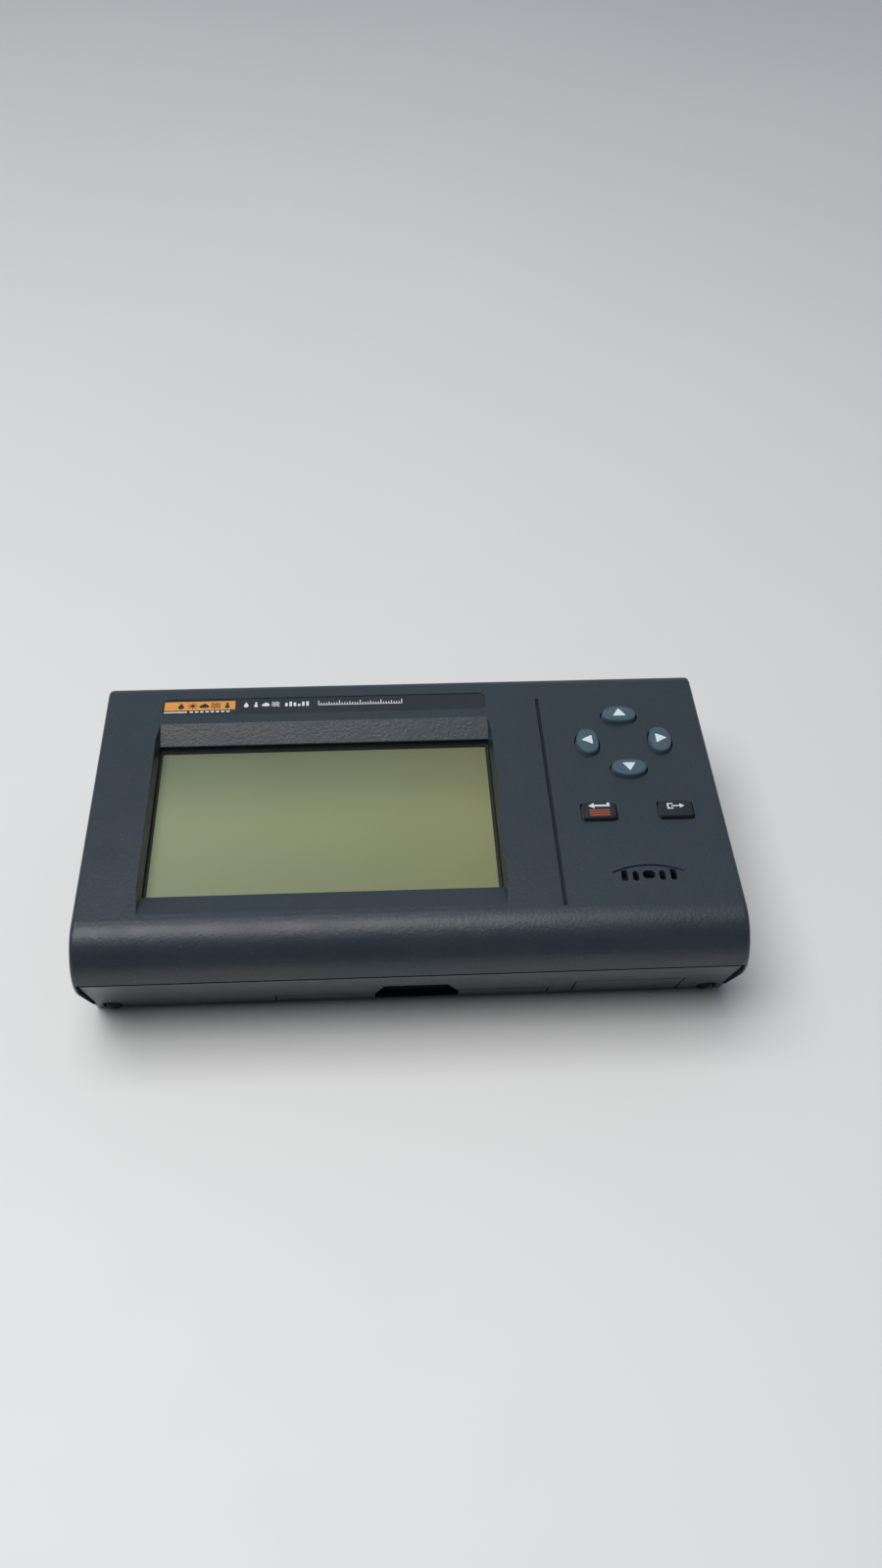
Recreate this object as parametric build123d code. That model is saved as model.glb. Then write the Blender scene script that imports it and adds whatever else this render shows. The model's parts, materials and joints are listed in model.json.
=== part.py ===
from build123d import *
import math
import os

# Bench and wall thermo-hygrometer, lying on its back with its front face up.
# +X is to the reader's right, +Y points to the far (upper) end, +Z is up out of the face.
# The origin is the centre of the base, on the plane that the feet stand on.

# ---- driving dimensions, millimetres ----
BODY_W = 211.0            # overall width, X
BODY_D = 125.0            # overall depth, Y
KEY_TOP = 51.0            # overall height, over the arrow keys
FACE_Z = 49.0             # flat front face
BASE_Z = 1.0              # underside of the rear shell, the feet reach 0
WALL = 2.5
NEAR_R = 14.2             # big rounding where the face turns into the near wall
FAR_R = 6.0               # rounding of the far upper edge
SLANT_RUN = 16.7          # how far the near wall leans in, from the parting line to the base
SIDE_SPLIT_Z = 7.6        # the front shell's side walls stop here
SEAM = 0.75               # visible gap between the two shells
PANEL_HALF = 103.55       # half width of the rear shell's slanted panel
EDGE_R = 1.5              # rounding of the outline of both side walls

HALF_W = BODY_W / 2
HALF_D = BODY_D / 2
TIP_Z = FACE_Z - NEAR_R   # the widest point of the section, where the shells meet
SLANT_H = TIP_Z - BASE_Z
INNER_FACE = FACE_Z - WALL
FLOOR_TOP = BASE_Z + WALL
FAR = 200.0               # longer than anything that gets cut

# ---- display ----
RECESS_X = (-85.5, 29.9)
RECESS_Y = (-46.1, 40.2)  # outline of the sloped recess on the face
WINDOW_Y = (-35.8, 33.0)  # foot of the two ramps
RAMP_Z = 45.0
RECESS_FLARE = 1.0        # the recess is this much wider at the face than at its floor, each side
LEDGE_Z = 44.5            # the lens is stuck up against this ledge
LENS_T = 1.5
LENS_LAP = 2.5
GASKET_T = 0.5
BEZEL_W, BEZEL_D = 124.0, 90.0
BEZEL_OPEN_X = (-84.7, 28.7)
BEZEL_OPEN_Y = (-34.9, 32.3)
BEZEL_SHEET = 0.8
GLASS_T = 2.4
BACKLIGHT_T = 3.0
PCB_T = 1.6
LCD_BOARD_W, LCD_BOARD_D = 136.0, 92.0
LCD_SCREW_INSET = 2.9
LCD_BOSS_R = 2.6

# ---- name plate and face grooves ----
PLATE_X = (-85.3, 29.7)
PLATE_Y = (44.6, 53.1)
PLATE_R = 2.5
PLATE_DEPTH = 0.6
GROOVE_X = 48.3
GROOVE_Y = (-47.4, 49.0)
GROOVE_HALF_W, GROOVE_DEPTH = 0.65, 0.9

# ---- keys ----
PAD_X, PAD_Y = 76.6, 25.3
PAD_REACH_X, PAD_REACH_Y = 12.8, 13.5
ARROW_HALF_L = 6.2
ARROW_OUTER, ARROW_INNER = 4.3, 3.8    # from the widest line to the crowned and to the flatter side
ARROW_END_R = 3.4
ACTION_W, ACTION_D = 11.4, 7.8
ACTION_X = (63.8, 89.5)
ACTION_Y = -7.8
ACTION_TOP = 50.4
KEY_GAP = 0.35
KEY_FLANGE = 1.3
FLANGE_Z = (44.5, 45.5)
KEY_POST_R = 1.5
KEY_POST_FOOT = 43.9
MEMBRANE_T = 0.8
KEYPAD_X = (52.0, 95.5)
KEYPAD_Y = (-44.0, 44.0)
KEYPAD_TOP = 40.6
SWITCH_SIDE = 6.0
SWITCH_TOP = 42.1
PLUNGER_TOP = 42.6
PLUNGER_R = 1.6

# ---- sounder ----
GRILLE_X = 76.3
GRILLE_CREST_Y = -31.4
GRILLE_R = 25.6
GRILLE_ARC_W, GRILLE_ARC_DEPTH = 0.7, 0.6
GRILLE_HALF_ANGLE = 27.0
BUZZER_R, BUZZER_H = 8.0, 4.6

# ---- main board and what stands on it ----
MAIN_Z = 24.0
MAIN_X = (-60.0, 102.0)
MAIN_Y = (-26.5, 42.0)
MAIN_TOP = MAIN_Z + PCB_T
MAIN_POSTS = [(-56.0, -22.5), (-56.0, 38.0), (94.0, -22.5), (94.0, 38.0)]
POST_R = 2.8

# ---- sensor sockets in the far wall ----
SOCKET_X = 45.0
SOCKET_Z = 22.0
SOCKET_R = 7.0
SOCKET_FLANGE_R = 9.0
SOCKET_FLANGE_T = 1.3
SOCKET_BORE_R = 5.0
SOCKET_INSERT_R = 4.2
SOCKET_BORE_DEPTH = 10.0
SOCKET_BACK_Y = 45.0

# ---- side ports ----
PORT_BACK_WALL = HALF_W - WALL
ETHERNET_Y = -10.0
ETHERNET_W, ETHERNET_H, ETHERNET_L = 16.0, 12.8, 18.0
DC_Y, DC_R = 14.0, 3.0
SERIAL_Y, SERIAL_R = 30.0, 1.8
JACK_Z = MAIN_TOP + 5.0

# ---- battery, its well and its door ----
BATTERY_X = 71.0
BATTERY_W, BATTERY_L, BATTERY_H = 26.5, 46.4, 17.5
BATTERY_Y0 = -39.0
BATTERY_Z0 = 3.9
WELL_X = (57.3, 84.7)
WELL_Y = (-40.5, 18.0)
WELL_WALL = 1.4
WELL_ROOF = 21.8
DOOR_X = (53.4, 88.6)
DOOR_FAR_Y = 21.7
DOOR_LIP_Z = 18.4
DOOR_T = 2.3
DOOR_GAP = 0.45
DOOR_TRAVEL = 12.0
DOOR_TONGUES_Y = [(-14.0, -6.0), (10.0, 18.0)]
TONGUE_Z = (3.8, 5.0)
TONGUE_REACH = 1.6

# ---- fold-out stand ----
STAND_HALF = 44.8
STAND_GAP = 0.45
STAND_LIP_Z = 11.0
STAND_Z = (1.2, 4.2)
STAND_T = 2.3
HINGE_Y, HINGE_Z = 8.0, 4.3
BARREL_R = 2.9
PIN_R = 1.25
RUNNING = 0.05
PIN_X = (36.0, 48.4)
POCKET_ROOF = 7.6
POCKET_FAR_Y = 12.3
NOTCH_TOP_Z = 21.0
NOTCH_FOOT_Z = 2.9
NOTCH_BACK_Y = -43.5

# ---- fastenings, feet, bracket holes ----
CASE_SCREWS = [(-99.4, -30.5), (99.4, -30.5), (-99.4, 54.0), (99.4, 54.0)]
CASE_BOSS_R = 3.2
CASE_BOSS_FOOT = 7.9
SCREW_R = 1.25
SCREW_HEAD_H = 1.4
BRACKET_X, BRACKET_Y = 60.0, 50.0
BRACKET_HOLE_R = 1.75
BRACKET_DEPTH = 10.0
NEAR_FEET = [(-98.8, -42.9), (98.8, -42.9)]
FEET = NEAR_FEET + [(-88.0, 52.0), (88.0, 52.0)]
FOOT_R = 3.0
FOOT_GAP = 0.4
FOOT_WALL = 1.0
FOOT_POCKET_TOP = 10.4
SCOOP_HALF_W = 3.2        # the near feet stand in arched scoops that open through the slanted wall
SCOOP_TOP = 9.6
SCOOP_WALL = 1.7

# ---- rating label on the underside, with nothing printed that names the unit ----
LABEL_X = (-31.0, 31.0)
LABEL_Y = (21.5, 45.5)
LABEL_DEPTH = 0.4


# ---- small helpers ----
def slab(x, y, z):
    """A box between two limits on each axis."""
    middle = [(low + high) / 2 for low, high in (x, y, z)]
    size = [high - low for low, high in (x, y, z)]
    return Pos(*middle) * Box(*size)


def post(x, y, z, radius):
    """An upright round bar between two heights."""
    return Pos(x, y, (z[0] + z[1]) / 2) * Cylinder(radius, z[1] - z[0])


def bar_y(x, z, y, radius):
    """A round bar lying along Y."""
    middle = (y[0] + y[1]) / 2
    return Pos(x, middle, z) * Rot(90, 0, 0) * Cylinder(radius, y[1] - y[0])


def bar_x(y, z, x, radius):
    """A round bar lying along X."""
    middle = (x[0] + x[1]) / 2
    return Pos(middle, y, z) * Rot(0, 90, 0) * Cylinder(radius, x[1] - x[0])


def along_x(outline, half):
    """A (Y, Z) outline carried the same distance to both sides."""
    return Pos(-half, 0, 0) * extrude(Plane.YZ * outline, amount=2 * half, dir=(1, 0, 0))


def prism_x(points, x):
    """A (Y, Z) outline carried along X."""
    outline = Plane.YZ * make_face(Polyline(*points, close=True))
    return Pos(x[0], 0, 0) * extrude(outline, amount=x[1] - x[0], dir=(1, 0, 0))


def raised(outline, z):
    """An (X, Y) outline carried from one height to another."""
    return Pos(0, 0, z[0]) * extrude(outline, amount=z[1] - z[0], dir=(0, 0, 1))


def slant_y(z):
    """Y of the near wall's outer surface at a height."""
    return -HALF_D + (TIP_Z - z) * SLANT_RUN / SLANT_H


def slant_slab(depth, x, z):
    """A slab that follows the slanted near wall, between two depths under its surface."""
    along_y = math.hypot(SLANT_RUN, SLANT_H) / SLANT_H
    corners = [
        (slant_y(z[0]) + depth[0] * along_y, z[0]),
        (slant_y(z[0]) + depth[1] * along_y, z[0]),
        (slant_y(z[1]) + depth[1] * along_y, z[1]),
        (slant_y(z[1]) + depth[0] * along_y, z[1]),
    ]
    return prism_x(corners, x)


def widened(limits, margin):
    return (limits[0] - margin, limits[1] + margin)


def rectangle(x, y, radius=0.0):
    """A flat rectangle between limits, with rounded corners if a radius is given."""
    width, depth = x[1] - x[0], y[1] - y[0]
    middle = ((x[0] + x[1]) / 2, (y[0] + y[1]) / 2)
    flat = RectangleRounded(width, depth, radius) if radius else Rectangle(width, depth)
    return Pos(*middle) * flat


def save(name, shape):
    """Write one node, as one solid or a group of separate solids."""
    solids = shape.solids()
    export_step(solids[0] if len(solids) == 1 else Compound(children=solids), f"parts/{name}.step")


# ---- the case ----
def section(cheek=False):
    """
    The case's outline seen from the side, as a face in the YZ plane. Over most of its width the near wall
    slants in straight from the tip. The cheeks at both sides carry the rounding on past the tip.
    """
    turn = math.sqrt(0.5)
    near_centre = (-HALF_D + NEAR_R, TIP_Z)
    near_end = (-HALF_D, TIP_Z)
    far_centre = (HALF_D - FAR_R, FACE_Z - FAR_R)
    near_arc = ThreePointArc(
        (near_centre[0], FACE_Z),
        (near_centre[0] - NEAR_R * turn, TIP_Z + NEAR_R * turn),
        near_end,
    )
    if cheek:
        foot = (slant_y(BASE_Z), BASE_Z)
        across, down = near_centre[0] - foot[0], near_centre[1] - foot[1]
        reach = math.hypot(across, down)
        lean = math.asin(NEAR_R / reach) - math.atan2(across, down)
        run = math.sqrt(reach**2 - NEAR_R**2)
        near_end = (foot[0] - run * math.sin(lean), foot[1] + run * math.cos(lean))
        near_arc = ThreePointArc((near_centre[0], FACE_Z), near_arc @ 0.5, near_end)
    far_arc = ThreePointArc(
        (HALF_D, far_centre[1]),
        (far_centre[0] + FAR_R * turn, far_centre[1] + FAR_R * turn),
        (far_centre[0], FACE_Z),
    )
    straight = Polyline(
        near_end, (slant_y(BASE_Z), BASE_Z), (HALF_D, BASE_Z), (HALF_D, far_centre[1])
    )
    face_line = Line((far_centre[0], FACE_Z), (near_centre[0], FACE_Z))
    return make_face([near_arc, straight, far_arc, face_line])


def body_block(cheek=False):
    """The whole outer form, with both side outlines rounded."""
    block = along_x(section(cheek), HALF_W)
    return fillet(block.faces().filter_by(Axis.X).edges(), EDGE_R)


def case_wall(cheek=False):
    """The case as one thin wall, before it is parted into two shells."""
    return body_block(cheek) - along_x(offset(section(cheek), amount=-WALL), HALF_W - WALL)


def rear_zone(grow=0.0):
    """The space that the rear shell's walls lie in, grown upward and outward by the seam."""
    tray = slab((-FAR, FAR), (-FAR, FAR), (-FAR, SIDE_SPLIT_Z + grow))
    panel = slant_slab(
        (-5.0, 6.0),
        (-PANEL_HALF - grow, PANEL_HALF + grow),
        (BASE_Z, TIP_Z + grow - SEAM / 2),
    )
    return tray + panel


def arrow_outline(margin=0.0):
    """An arrow key seen from above: strongly crowned at +Y, flatter towards the middle of the pad."""
    end_x = ARROW_HALF_L - ARROW_END_R
    joins = []
    for reach, way in ((ARROW_OUTER, 1), (ARROW_INNER, -1)):
        crown_r = (end_x**2 + reach**2 - ARROW_END_R**2) / (2 * (reach - ARROW_END_R))
        share = ARROW_END_R / (crown_r - ARROW_END_R)
        joins.append((end_x + share * end_x, way * share * (crown_r - reach)))
    (out_x, out_y), (in_x, in_y) = joins
    outline = [
        ThreePointArc((-out_x, out_y), (0, ARROW_OUTER), (out_x, out_y)),
        ThreePointArc((out_x, out_y), (ARROW_HALF_L, 0), (in_x, in_y)),
        ThreePointArc((in_x, in_y), (0, -ARROW_INNER), (-in_x, in_y)),
        ThreePointArc((-in_x, in_y), (-ARROW_HALF_L, 0), (-out_x, out_y)),
    ]
    flat = Pos(0, (ARROW_INNER - ARROW_OUTER) / 2) * make_face(outline)
    return offset(flat, amount=margin) if margin else flat


def arrow_places():
    """Name, place and turn of the four arrow keys; the crowned side faces away from the middle."""
    return {
        "key_up": (PAD_X, PAD_Y + PAD_REACH_Y, 0),
        "key_down": (PAD_X, PAD_Y - PAD_REACH_Y, 180),
        "key_left": (PAD_X - PAD_REACH_X, PAD_Y, 90),
        "key_right": (PAD_X + PAD_REACH_X, PAD_Y, -90),
    }


def action_places():
    return {
        "key_enter": (ACTION_X[0], ACTION_Y),
        "key_exit": (ACTION_X[1], ACTION_Y),
    }


def key_outlines(margin):
    """The six key outlines in place, each grown by a margin."""
    outlines = [
        Pos(x, y) * Rot(0, 0, turn) * arrow_outline(margin)
        for x, y, turn in arrow_places().values()
    ]
    for x, y in action_places().values():
        outlines.append(
            Pos(x, y) * RectangleRounded(ACTION_W + 2 * margin, ACTION_D + 2 * margin, 1.0 + margin)
        )
    return outlines


def grille_cuts():
    """The sounder's outlets: a fine arc over two tall slots, two short ones and a wide middle one."""
    cut_z = (INNER_FACE - 1.0, FACE_Z + 1.0)
    centre_y = GRILLE_CREST_Y - GRILLE_R
    arc = [
        raised(
            Pos(GRILLE_X, centre_y) * (Circle(GRILLE_R) - Circle(GRILLE_R - GRILLE_ARC_W)),
            (FACE_Z - GRILLE_ARC_DEPTH, FACE_Z + 1.0),
        )
        & prism_z_wedge(GRILLE_X, centre_y, GRILLE_HALF_ANGLE)
    ]
    slots = []
    for offset_x, far_y, length, width in (
        (-7.9, -33.2, 5.0, 1.9),
        (-4.3, -34.2, 4.0, 1.9),
        (0.0, -34.0, 3.4, 4.0),
        (4.3, -34.2, 4.0, 1.9),
        (7.9, -33.2, 5.0, 1.9),
    ):
        middle = far_y - length / 2
        flat = Pos(GRILLE_X + offset_x, middle) * RectangleRounded(width, length, min(width, length) * 0.45)
        slots.append(raised(flat, cut_z))
    return arc + slots


def prism_z_wedge(x, y, half_angle):
    """A wedge that opens to +Y from a centre, to keep part of a ring."""
    reach = FAR * math.tan(math.radians(half_angle))
    outline = make_face(Polyline((x, y), (x + reach, y + FAR), (x - reach, y + FAR), close=True))
    return raised(outline, (0, FAR))


def lcd_screw_places():
    middle_x, middle_y = display_middle()
    reach_x = LCD_BOARD_W / 2 - LCD_SCREW_INSET
    reach_y = LCD_BOARD_D / 2 - LCD_SCREW_INSET
    return [(middle_x + i * reach_x, middle_y + j * reach_y) for i in (-1, 1) for j in (-1, 1)]


def keypad_screw_places():
    inset = 3.0
    return [(x, y) for x in (KEYPAD_X[0] + inset, KEYPAD_X[1] - inset)
            for y in (KEYPAD_Y[0] + inset, KEYPAD_Y[1] - inset)]


def display_middle():
    return (sum(BEZEL_OPEN_X) / 2, -3.2)


def display_recess():
    """What the display recess takes out of the face: two ramps, a flat floor and flared side walls."""
    grow = 1 + 0.5 / (FACE_Z - RAMP_Z)
    top_z = RAMP_Z + (FACE_Z - RAMP_Z) * grow
    near_top = WINDOW_Y[0] + (RECESS_Y[0] - WINDOW_Y[0]) * grow
    far_top = WINDOW_Y[1] + (RECESS_Y[1] - WINDOW_Y[1]) * grow
    left, right = RECESS_X
    wide_left, wide_right = widened(RECESS_X, RECESS_FLARE * grow)
    near, far = WINDOW_Y
    floor = [(left, near, RAMP_Z), (right, near, RAMP_Z), (right, far, RAMP_Z), (left, far, RAMP_Z)]
    rim = [
        (left, near_top, top_z),
        (right, near_top, top_z),
        (wide_right, near, top_z),
        (wide_right, far, top_z),
        (right, far_top, top_z),
        (left, far_top, top_z),
        (wide_left, far, top_z),
        (wide_left, near, top_z),
    ]
    outlines = [
        floor,
        rim,
        [floor[0], floor[1], rim[1], rim[0]],
        [floor[1], rim[1], rim[2]],
        [floor[1], floor[2], rim[3], rim[2]],
        [floor[2], rim[3], rim[4]],
        [floor[2], floor[3], rim[5], rim[4]],
        [floor[3], rim[5], rim[6]],
        [floor[3], floor[0], rim[7], rim[6]],
        [floor[0], rim[7], rim[0]],
    ]
    return Solid(Shell([make_face(Polyline(*outline, close=True)).face() for outline in outlines]))


def front_shell():
    """Deep cover: face, display recess, key and grille openings, bosses, side and far walls."""
    shell = case_wall(cheek=True) - rear_zone(SEAM)
    tub = slab(widened(RECESS_X, 3.5), widened(RECESS_Y, 2.9), (LEDGE_Z - 2.0, INNER_FACE + 0.5))
    shell += tub
    bezel_top = LEDGE_Z - LENS_T - GASKET_T
    lcd_board_top = bezel_top - BEZEL_SHEET - GLASS_T - BACKLIGHT_T
    for x, y in lcd_screw_places():
        shell += post(x, y, (lcd_board_top, INNER_FACE + 0.8), LCD_BOSS_R)
    for x, y in keypad_screw_places():
        shell += post(x, y, (KEYPAD_TOP, INNER_FACE + 0.8), 2.4)
    for x, y in CASE_SCREWS:
        shell += post(x, y, (CASE_BOSS_FOOT, INNER_FACE + 0.8), CASE_BOSS_R)

    shell -= display_recess()
    shell -= slab(RECESS_X, WINDOW_Y, (LEDGE_Z - 10, RAMP_Z + 0.1))
    rebate_x = widened(RECESS_X, LENS_LAP + 0.15)
    rebate_y = widened(WINDOW_Y, LENS_LAP + 0.15)
    shell -= slab(rebate_x, rebate_y, (LEDGE_Z - 10, LEDGE_Z))

    plate = rectangle(PLATE_X, PLATE_Y, PLATE_R)
    shell -= raised(plate, (FACE_Z - PLATE_DEPTH, FACE_Z + 1))
    groove = [
        (GROOVE_X - GROOVE_HALF_W, FACE_Z),
        (GROOVE_X, FACE_Z - GROOVE_DEPTH),
        (GROOVE_X + GROOVE_HALF_W, FACE_Z),
    ]
    groove_face = Plane.XZ * make_face(Polyline(*groove, close=True))
    length = GROOVE_Y[1] - GROOVE_Y[0]
    shell -= Pos(0, GROOVE_Y[0], 0) * extrude(groove_face, amount=length, dir=(0, 1, 0))
    for outline in key_outlines(KEY_GAP):
        shell -= raised(outline, (INNER_FACE - 0.5, FACE_Z + 1))
    for cut in grille_cuts():
        shell -= cut

    for x, y in lcd_screw_places():
        shell -= post(x, y, (lcd_board_top - 1, INNER_FACE - 1.5), 1.0)
    for x, y in keypad_screw_places():
        shell -= post(x, y, (KEYPAD_TOP - 1, INNER_FACE - 0.5), 1.0)
    for x, y in CASE_SCREWS:
        shell -= post(x, y, (CASE_BOSS_FOOT - 1, CASE_BOSS_FOOT + 12), SCREW_R)

    for side in (-1, 1):
        shell -= bar_y(side * SOCKET_X, SOCKET_Z, (HALF_D - WALL - 1, HALF_D + 1), SOCKET_R + 0.1)
        seat = (HALF_D - SOCKET_FLANGE_T, HALF_D + 1)
        shell -= bar_y(side * SOCKET_X, SOCKET_Z, seat, SOCKET_FLANGE_R + 0.1)
    wall_x = (PORT_BACK_WALL - 0.5, HALF_W + 1)
    half_port = ETHERNET_W / 2 + 0.4
    shell -= slab(wall_x, (ETHERNET_Y - half_port, ETHERNET_Y + half_port),
                  (MAIN_TOP + 0.3, MAIN_TOP + ETHERNET_H + 0.4))
    shell -= bar_x(DC_Y, JACK_Z, wall_x, 5.2)
    shell -= bar_x(SERIAL_Y, JACK_Z, wall_x, 4.2)
    return shell


def door_opening():
    """The space that the battery door fills, with a gap all round."""
    x = widened(DOOR_X, DOOR_GAP)
    flat = slab(x, (-FAR, DOOR_FAR_Y + DOOR_GAP), (BASE_Z - 1, FLOOR_TOP + 0.01))
    lip = slant_slab((-6.0, WALL + 0.3), x, (BASE_Z - 1, DOOR_LIP_Z + DOOR_GAP))
    releases = [
        slab(widened(DOOR_X, TONGUE_REACH + 0.4), (low - DOOR_TRAVEL - 0.3, high - DOOR_TRAVEL + 0.3),
             (BASE_Z - 1, FLOOR_TOP + 0.01))
        for low, high in DOOR_TONGUES_Y
    ]
    return flat & slab(x, (slant_y(BASE_Z) - 6, FAR), (-FAR, FAR)), lip, releases


def stand_opening():
    """The pocket that the folded stand lies in, and the slanted wall that its lip replaces."""
    x = (-STAND_HALF - STAND_GAP, STAND_HALF + STAND_GAP)
    flat = slab(x, (slant_y(BASE_Z) - 6, POCKET_FAR_Y), (BASE_Z - 1, POCKET_ROOF))
    lip = slant_slab((-6.0, WALL + 0.3), x, (BASE_Z - 1, STAND_LIP_Z + STAND_GAP))
    return flat, lip


def finger_notch():
    """The trapezoid scoop in the near wall that a fingertip reaches the stand through."""
    outline = [
        (-9.3, NOTCH_TOP_Z),
        (11.2, NOTCH_TOP_Z),
        (15.4, 9.0),
        (15.4, NOTCH_FOOT_Z),
        (-12.4, NOTCH_FOOT_Z),
        (-12.4, 9.0),
    ]
    face = Plane.XZ * make_face(Polyline(*outline, close=True))
    reach = NOTCH_BACK_Y + FAR
    return Pos(0, -FAR, 0) * extrude(face, amount=reach, dir=(0, 1, 0))


def foot_scoop(x, y):
    """The arch in the slanted wall in front of a near foot, and the block of wall that it is cut from."""
    springing = SCOOP_TOP - SCOOP_HALF_W
    arch = Plane.XZ * (
        Pos(0, springing / 2) * Rectangle(2 * SCOOP_HALF_W, springing)
        + Pos(0, springing) * Circle(SCOOP_HALF_W)
    )
    cut = Pos(x, y, 0) * extrude(arch, amount=HALF_D + y + 1, dir=(0, -1, 0))
    inner = HALF_W - WALL - 0.2
    block_x = widened((x - SCOOP_HALF_W, x + SCOOP_HALF_W), SCOOP_WALL)
    block_x = (max(block_x[0], -inner), min(block_x[1], inner))
    block = slab(block_x, (-HALF_D, y), (BASE_Z, SCOOP_TOP + SCOOP_WALL))
    return cut, block


def rear_shell():
    """Tray with the slanted near panel, stand pocket, battery well, posts and screw seats."""
    outer = body_block()
    shell = case_wall() & rear_zone()
    tongue_y = -HALF_D + WALL + 0.5
    shell += slab((-98, 98), (tongue_y, tongue_y + 1.3), (TIP_Z - 4.0, TIP_Z + 2.7))
    rim_inner = HALF_W - WALL - 0.2
    for side in (-1, 1):
        rim_x = sorted((side * rim_inner, side * (rim_inner - 1.2)))
        shell += slab(rim_x, (-26, 48), (BASE_Z + 1, SIDE_SPLIT_Z + 2.4))

    pocket_x = (-STAND_HALF - STAND_GAP - 1.8, STAND_HALF + STAND_GAP + 1.8)
    shell += slab(pocket_x, (slant_y(BASE_Z) + 2, POCKET_FAR_Y + 1.8), (BASE_Z, POCKET_ROOF + 1.8)) & outer
    shell += slant_slab((1.0, WALL + 2.0), pocket_x, (BASE_Z + 0.5, STAND_LIP_Z + 2.5))
    shell += slab((-15.5, 18.5), (-52.0, NOTCH_BACK_Y + 1.6), (BASE_Z, NOTCH_TOP_Z + 1.8)) & outer
    for side in (-1, 1):
        block_x = sorted((side * (STAND_HALF + STAND_GAP), side * (PIN_X[1] + 1.2)))
        shell += slab(block_x, (HINGE_Y - 4, HINGE_Y + 4), (BASE_Z, POCKET_ROOF + 1.8))

    well_x = widened(WELL_X, WELL_WALL)
    well_y = widened(WELL_Y, WELL_WALL)
    well = slab(well_x, well_y, (BATTERY_Z0 - 0.4, WELL_ROOF + WELL_WALL))
    well -= slab(WELL_X, WELL_Y, (BASE_Z - 1, WELL_ROOF))
    door_x = widened(DOOR_X, 2.0)
    lip_back = slant_slab((WALL - 0.2, WALL + 1.8), door_x, (5.4, DOOR_LIP_Z + 3.0))
    for rib_x in ((WELL_X[0], WELL_X[0] + WELL_WALL), (WELL_X[1] - WELL_WALL, WELL_X[1])):
        well += slab(rib_x, (WELL_Y[1] + 1, DOOR_FAR_Y + 6), (FLOOR_TOP + 0.1, 12))
        well += slab(rib_x, (DOOR_FAR_Y + 0.8, DOOR_FAR_Y + 6), (FLOOR_TOP - 0.5, 12))
        well += slab(rib_x, (slant_y(12) + 3.5, WELL_Y[0] - 1), (8, 17))

    for x, y in MAIN_POSTS:
        shell += post(x, y, (BASE_Z + 1, MAIN_Z), POST_R)
    for x, y in CASE_SCREWS:
        shell += post(x, y, (BASE_Z + 0.5, CASE_BOSS_FOOT - 0.2), 5.0)
    for side in (-1, 1):
        shell += post(side * BRACKET_X, BRACKET_Y, (BASE_Z + 0.5, BASE_Z + BRACKET_DEPTH + 2), 4.5)
    for x, y in FEET:
        shell += post(x, y, (BASE_Z + 0.5, FOOT_POCKET_TOP + 1.5), FOOT_R + FOOT_WALL) & outer
    for x, y in NEAR_FEET:
        shell += foot_scoop(x, y)[1] & outer

    flat, lip, releases = door_opening()
    shell -= flat
    shell += lip_back
    shell += well
    shell -= lip
    for release in releases:
        shell -= release
    for cut in stand_opening():
        shell -= cut
    shell -= finger_notch()
    for x, y in MAIN_POSTS:
        shell -= post(x, y, (MAIN_Z - 10, MAIN_Z + 1), 1.1)
    for x, y in CASE_SCREWS:
        shell -= post(x, y, (BASE_Z - 1, 4.9), 3.4)
        shell -= post(x, y, (4, CASE_BOSS_FOOT + 1), 1.6)
    for side in (-1, 1):
        shell -= post(side * BRACKET_X, BRACKET_Y, (BASE_Z - 1, BASE_Z + BRACKET_DEPTH), BRACKET_HOLE_R)
        pin_hole = sorted((side * (PIN_X[0]), side * PIN_X[1]))
        shell -= bar_x(HINGE_Y, HINGE_Z, pin_hole, PIN_R)
    for x, y in FEET:
        shell -= post(x, y, (BASE_Z - 1, FOOT_POCKET_TOP), FOOT_R + FOOT_GAP)
    for x, y in NEAR_FEET:
        shell -= foot_scoop(x, y)[0]
    label = rectangle(LABEL_X, LABEL_Y, 1.5)
    shell -= raised(label, (BASE_Z - 1, BASE_Z + LABEL_DEPTH))
    return shell


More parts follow.
